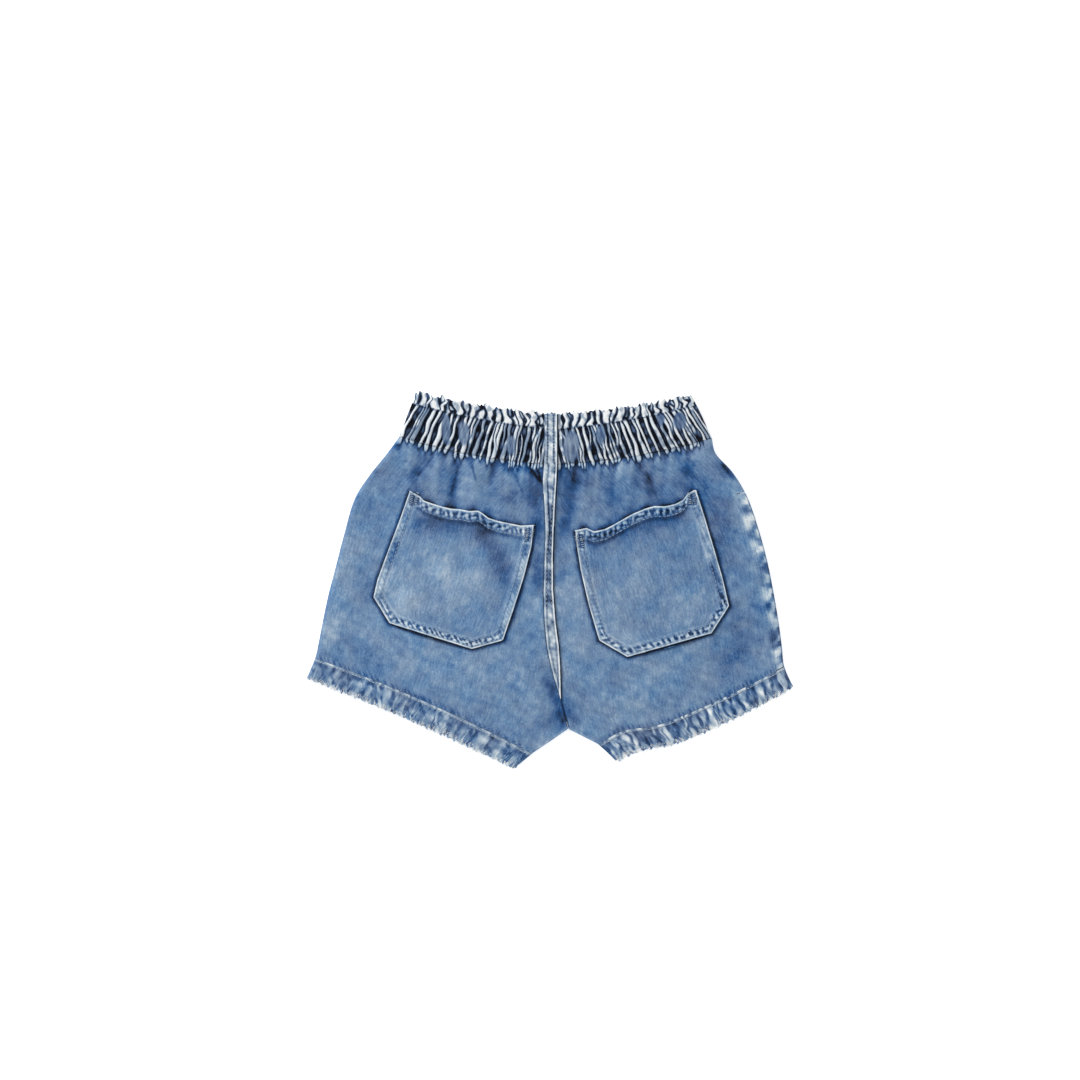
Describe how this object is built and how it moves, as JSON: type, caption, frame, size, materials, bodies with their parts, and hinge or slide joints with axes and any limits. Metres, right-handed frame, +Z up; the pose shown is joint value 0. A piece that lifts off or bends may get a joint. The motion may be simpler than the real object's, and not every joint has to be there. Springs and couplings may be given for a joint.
{
  "type": "denim shorts",
  "caption": "Child's pull-on denim shorts lying flat, back side up, with a gathered ruffle-top waist, patch pockets and puckered turned-up hems.",
  "frame": {"origin": "middle of the laid garment's outline, on the surface that it lies on", "axes": "+X to the wearer's right, +Y to the waist, +Z up, out of the back, which lies on top"},
  "size_m": [0.4132, 0.3204, 0.0086],
  "materials": {
    "denim_body": "washed mid-blue twill, matt",
    "denim_pocket": "washed paler blue twill, matt",
    "denim_waistband": "gathered twill, navy in the folds and worn white on the ridges",
    "denim_hem": "puckered twill, worn pale on the high places",
    "denim_seam": "felled seam, worn pale, with pale thread"
  },
  "bodies": {
    "root": {"back_left_panel": "denim_body", "back_right_panel": "denim_body", "front_left_panel": "denim_body", "front_right_panel": "denim_body", "hip_facing_left": "denim_body", "hip_facing_right": "denim_body", "back_pocket_left": "denim_pocket", "back_pocket_right": "denim_pocket", "waistband_back_left": "denim_waistband", "waistband_back_right": "denim_waistband", "waistband_front_left": "denim_waistband", "waistband_front_right": "denim_waistband", "hem_back_left": "denim_hem", "hem_back_right": "denim_hem", "hem_front_left": "denim_hem", "hem_front_right": "denim_hem", "centre_back_seam": "denim_seam", "centre_front_seam": "denim_seam"}
  },
  "joints": []
}
